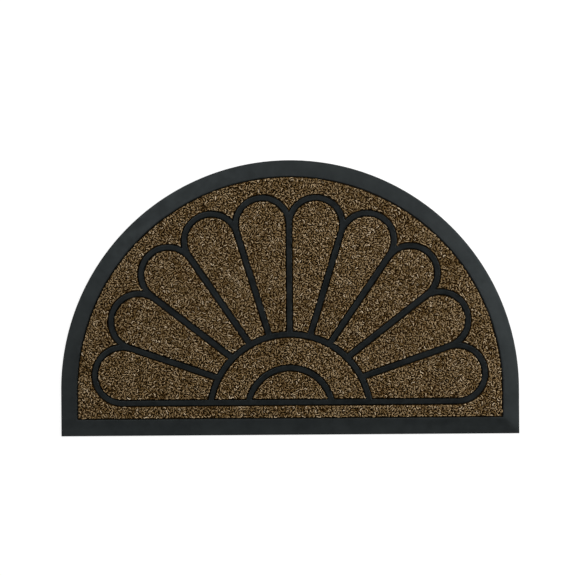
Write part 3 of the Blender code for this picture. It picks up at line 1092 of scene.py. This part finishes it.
# %% [markdown]
# ## Pushing the curls apart
#
# In each round every point moves a little downhill, bends are eased, and each step of the line
# is brought back to its own length, because yarn doesn't stretch. A cloth or hair simulation
# could do it with real contacts, but a few rounds of this already even out bald spots and clumps.

# %% Push the curls apart
ROUNDS = 16
PUSH = 0.45 * MM
SOFT_START = 0.02
STRAIGHTENING = 0.12
SHORTEST_STEP = 1e-6
GRID_MARGIN = 8 * MM


def with_own_lengths(line, stride):
    """Brings each step of the lines back to its own length, by moving both its ends."""
    for step in (*range(STEPS), *reversed(range(STEPS))):
        gap = line[:, step + 1, :2] - line[:, step, :2]
        size = np.maximum(np.linalg.norm(gap, axis=1, keepdims=True), SHORTEST_STEP)
        fix = 0.5 * (size - stride) / size * gap
        line[:, step, :2] += fix
        line[:, step + 1, :2] -= fix


def pushed_apart(line, travel, rings):
    """Moves the lines sideways out of each other's way, and keeps their lengths."""
    free = line[:, 1:, :2]
    count = free.shape[0] * free.shape[1]
    walls = wall_points(rings)
    low = walls.min(0) - GRID_MARGIN
    shape = tuple(int(n) for n in np.ceil((walls.max(0) + GRID_MARGIN - low) / CELL))
    area = sum(ring_area(ring) * (1 if number == 0 else -1) for number, ring in enumerate(rings))
    weights = np.concatenate([np.ones(count), np.full(len(walls), count / area * WALL_SPACING**2)])
    stride = (travel / STEPS)[:, None]
    for _ in range(ROUNDS):
        spots = np.concatenate([free.reshape(-1, 2), walls])
        slope = crowding_slope((spots - low) / CELL, weights, shape)[:count].reshape(free.shape)
        steep = np.linalg.norm(slope, axis=2, keepdims=True)
        free -= PUSH * slope / (steep + SOFT_START)
        free[:, 1:-1] += STRAIGHTENING * (free[:, :-2] + free[:, 2:] - 2 * free[:, 1:-1])
        with_own_lengths(line, stride)
    return line


print(f"The curls are pushed apart in {ROUNDS} rounds")

# %% [markdown]
# ## Keeping the curls off the rubber
#
# A cut edge of pile is soft: most ends stop short of the rib, and some lean over it. So each
# line is moved inwards until it is clear of the rubber, less an amount of its own that grows
# from nothing at the root to its full size at the free end.

# %% Keep the curls inside their field
KEPT_OFF = 2.0 * MM
ROOT_KEPT_OFF = 0.5 * MM
ROOT_POINTS = 2


def kept_inside(line, leaning, rings):
    """Moves the lines off the rubber, except that each end may lean out by its own amount."""
    count, points = line.shape[:2]
    depth, way = clearance(line[:, :, :2].reshape(-1, 2), rings)
    depth, way = depth.reshape(count, points), way.reshape(count, points, 2)
    least = np.tile(KEPT_OFF + ROOT_KEPT_OFF * (np.arange(points) < ROOT_POINTS), (count, 1))
    least -= leaning[:, None] * np.sqrt(np.linspace(0, 1, points))
    line[:, :, :2] += np.maximum(least - depth, 0.0)[:, :, None] * way
    return line


print(f"A curl's line keeps {KEPT_OFF / MM:.1f} mm off the feet of the ribs, less its own leaning")

# %% [markdown]
# ## Tubes of yarn
#
# A curl is a tube of four sides round its line. Carrying the ring of four points from step to
# step without letting it spin keeps the tube from wringing, and the last step closes to a
# point. A bevelled curve would give the same form, but not this control over its points. Four
# sides are few, but smooth shading rounds them, and the yarn is at most 2 mm thick.

# %% Turn lines into rings of points
SIDES = 4
THICKNESS_SHARES = np.array([0.75, 0.90, 1.0, 1.0, 1.0, 1.0, 0.95, 0.80])


def of_unit_length(arrows):
    """Returns each arrow at length one."""
    return arrows / np.maximum(np.linalg.norm(arrows, axis=1, keepdims=True), NOT_ZERO)


def tube_points(line, thick):
    """Returns rings of points round each line, without twist, and then the tips."""
    count, steps = line.shape[0], line.shape[1] - 1
    ahead = np.diff(line, axis=1)
    ahead /= np.linalg.norm(ahead, axis=2, keepdims=True)
    side = of_unit_length(np.cross(ahead[:, 0], [0.0, 0.0, 1.0]))
    angles = math.tau * np.arange(SIDES) / SIDES
    points = np.empty((count, steps * SIDES + 1, 3))
    for step in range(steps):
        axis = of_unit_length(ahead[:, step] + (ahead[:, step - 1] if step else 0.0))
        side = of_unit_length(side - (side * axis).sum(1, keepdims=True) * axis)
        other = np.cross(axis, side)
        radius = (thick * THICKNESS_SHARES[step] / 2)[:, None, None]
        round_it = side[:, None] * np.cos(angles)[:, None] + other[:, None] * np.sin(angles)[:, None]
        points[:, step * SIDES : (step + 1) * SIDES] = line[:, step, None] + radius * round_it
    points[:, -1] = line[:, -1]
    return points


print(f"A tube has {STEPS} rings of {SIDES} points and a tip")

# %% [markdown]
# ## One tube's faces
#
# All curls have the same faces, only their points differ, so the faces are worked out once. Each
# face also gets its place in a square cell. The cells, side by side, are the pile's UV map, which
# a game engine needs for a baked picture of the material.

# %% Faces and map of one tube
CELL_MARGIN = 0.12
END_CAP_CELL = [(0, -0.4), (1, -0.4), (1, -0.1), (0, -0.1)]


def one_tube():
    """Returns a tube's corners, face by face, the faces' sizes, and each corner's place in a cell."""
    corners, sizes, cells = [], [], []
    for ring in range(STEPS - 1):
        for side in range(SIDES):
            after = (side + 1) % SIDES
            here, above = ring * SIDES, (ring + 1) * SIDES
            corners += [here + side, here + after, above + after, above + side]
            cells += [(side, ring), (side + 1, ring), (side + 1, ring + 1), (side, ring + 1)]
            sizes.append(4)
    last, tip = (STEPS - 1) * SIDES, STEPS * SIDES
    for side in range(SIDES):
        corners += [last + side, last + (side + 1) % SIDES, tip]
        cells += [(side, STEPS - 1), (side + 1, STEPS - 1), (side + 0.5, STEPS)]
        sizes.append(3)
    corners += reversed(range(SIDES))
    cells += END_CAP_CELL
    sizes.append(SIDES)
    cells = np.array(cells) / (SIDES, STEPS)
    return np.array(corners), np.array(sizes), CELL_MARGIN + (1 - 2 * CELL_MARGIN) * cells


print(f"A tube has {len(one_tube()[1])} faces")

# %% [markdown]
# ## From arrays to a piece of pile
#
# A mesh can be built face by face with bmesh, but here there are hundreds of thousands, so whole
# arrays are handed over at once. Each point carries its curl's tone and a place that winds round
# the yarn. The yarn's material reads both.

# %% Make a piece of pile
TWIST_PER_STEP = 0.7
STREAK_STRETCH = 0.25
STREAK_STARTS = (0, 400)


def fill_mesh(data, points, corners, sizes):
    """Fills an empty mesh from arrays."""
    data.vertices.add(len(points))
    data.vertices.foreach_set("co", points.ravel())
    data.loops.add(len(corners))
    data.loops.foreach_set("vertex_index", corners)
    data.polygons.add(len(sizes))
    data.polygons.foreach_set("loop_start", np.concatenate([[0], np.cumsum(sizes)[:-1]]))
    data.update(calc_edges=True)
    data.validate()


def add_values(data, name, kind, field, values):
    """Writes one value for each point into a named attribute."""
    data.attributes.new(name, kind, "POINT").data.foreach_set(field, values.astype(np.float32).ravel())


def make_curls(name, line, thick, tones, random):
    """Makes a piece of pile from its curls' lines, thicknesses and tones."""
    points = tube_points(line, thick)
    count, each = points.shape[:2]
    corners, sizes, cells = one_tube()
    data = bpy.data.meshes.new(name)
    offsets = np.arange(count)[:, None] * each
    fill_mesh(data, points.reshape(-1, 3), (corners + offsets).ravel(), np.tile(sizes, count))
    add_values(data, "tone", "FLOAT", "value", np.repeat(tones, each))

    ring = np.minimum(np.arange(each) // SIDES, STEPS)
    angle = math.tau * (np.arange(each) % SIDES) / SIDES + TWIST_PER_STEP * ring
    wound = np.empty((count, each, 3))
    wound[:, :, 0] = np.cos(angle)
    wound[:, :, 1] = np.sin(angle)
    wound[:, :, 2] = ring * STREAK_STRETCH + random.uniform(*STREAK_STARTS, count)[:, None]
    add_values(data, "wound", "FLOAT_VECTOR", "vector", wound)

    columns = math.ceil(math.sqrt(count))
    cell = np.stack([np.arange(count) % columns, np.arange(count) // columns], 1)
    spots = (cell[:, None] + cells) / columns
    data.uv_layers.new(name="OFBake").uv.foreach_set("vector", spots.astype(np.float32).ravel())
    data.shade_smooth()
    data.materials.append(yarn)
    return add_object(name, data)


print("Curls can be made into pieces")

# %% [markdown]
# ## Planting the fields
#
# Every field is planted like a bed: a jittered honeycomb of places, a low and a high layer that are each
# pushed apart, and a few thin stray fibres that lean out over the rubber. The low curls are painted darker,
# as painted shade, because they lie down in the pile. The curls at the rim are painted a little paler, as
# painted light, because more light reaches them. The surround is planted as a whole and then made in three
# pieces, so that none is too heavy to edit.

# %% Settings of the pile
SPACING = 4.1 * MM
JITTER = 0.30
EDGE_MARGIN = 1.2 * MM
BORDER_KEPT_OFF = 0.4 * MM
LOW_SHARE = 0.5
STRAY_SHARE = 0.03
STRAY_THINNESS = 0.4
YARN_LENGTHS_MM = (6.5, 10.0)
YARN_THICKNESSES_MM = (1.5, 2.0)
LEAN_MM = 0.6
STRAY_LEAN_MM = 1.8
RIM_WIDTH = 5 * MM
TONE = 0.56
TONE_SPREAD = 0.15
# The low layer's shift is painted shade, and the rim's shift is painted light.
PATCH_TONE, STRAY_TONE, LOW_PAINTED_SHADE, RIM_PAINTED_LIGHT = 0.02, 0.2, -0.16, 0.06
DARKEST, PALEST = 0.02, 0.98
print(f"Curls stand {SPACING / MM:.1f} mm apart")

# %% Plant every field
def parts_of(name, middles):
    """Returns the pieces that a field is planted in, as names and masks of its curls."""
    if name != "surround":
        return {f"curls_{name}": np.full(len(middles), True)}
    below = middles[:, 1] < FAN_CENTRE[1]
    right = middles[:, 0] > 0
    return {
        "curls_surround_base": below,
        "curls_surround_left": ~below & ~right,
        "curls_surround_right": ~below & right,
    }


def plant(name, random):
    """Grows a field's curls and returns its pieces."""
    rings = field_rings(name, 0.0)
    if name == "surround":
        rings[0] = trace(mat_outline(), BORDER_FOOT + BORDER_KEPT_OFF)
    middles = scattered(rings, SPACING, EDGE_MARGIN, random, JITTER)
    count = len(middles)
    is_low = random.random(count) < LOW_SHARE
    is_stray = ~is_low & (random.random(count) < STRAY_SHARE)
    travel = random.uniform(*YARN_LENGTHS_MM, count) * MM
    thick = random.uniform(*YARN_THICKNESSES_MM, count) * MM
    thick[is_stray] *= STRAY_THINNESS
    leaning = (random.normal(0.0, LEAN_MM, count) + STRAY_LEAN_MM * is_stray) * MM
    line = walked(middles, travel, random)
    for layer in (is_low, ~is_low):
        line[layer] = pushed_apart(kept_inside(line[layer], leaning[layer], rings), travel[layer], rings)
    line = lifted(kept_inside(line, leaning, rings), is_low, random)
    rim = 1 - clearance(line[:, :, :2].mean(1), rings)[0] / RIM_WIDTH
    tones = TONE + PATCH_TONE * patches(middles) + random.normal(0.0, TONE_SPREAD, count)
    # Painted shade darkens the low curls, and painted light brightens the curls at the rim.
    tones += STRAY_TONE * is_stray + LOW_PAINTED_SHADE * is_low + RIM_PAINTED_LIGHT * rim.clip(0, 1)
    tones = tones.clip(DARKEST, PALEST)
    pieces = []
    for piece, mask in parts_of(name, middles).items():
        pieces.append(make_curls(piece, line[mask], thick[mask], tones[mask], random))
        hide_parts(f"pile_{name}")
    return pieces


CURL_SEED = 200
curls = []
for number, name in enumerate(FIELDS):
    curls += plant(name, np.random.default_rng(CURL_SEED + number))
triangles = {piece.name: sum(len(p.vertices) - 2 for p in piece.data.polygons) for piece in curls}
total, most = sum(triangles.values()), max(triangles.values())
print(f"{len(curls)} pieces of curls, {total} triangles, at most {most}")

# %% [markdown]
# ## Riding on the body and replacing the plain solids
#
# Every piece rides on the mat's one body, and the plain solids that the pieces stand for are hidden. Without
# this the model could show the plain solids and the dressed pieces at once.

# %% Ride on the body and hide the plain solids
for piece in (tray, backing_sheet, *curls):
    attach(piece, "root")
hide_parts("rubber_tray")
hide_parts(*(f"pile_{name}" for name in FIELDS))
print(f"{2 + len(curls)} pieces ride on the mat")

# %% [markdown]
#
# The backing is the one sheet of cloth in the mat. Its flat size is the size of the blank that it
# is cut from, and its area is what is left of the blank between the ribs. Both are measured from
# the outlines, so they follow if the mat is made in another size.

# %% The backing's blank and area
blank = np.array(trace(mat_outline(), BORDER_FOOT + PIECE_GAP))
for name in FIELDS:
    areas = [ring_area(ring) for ring in field_rings(name, PIECE_GAP)]
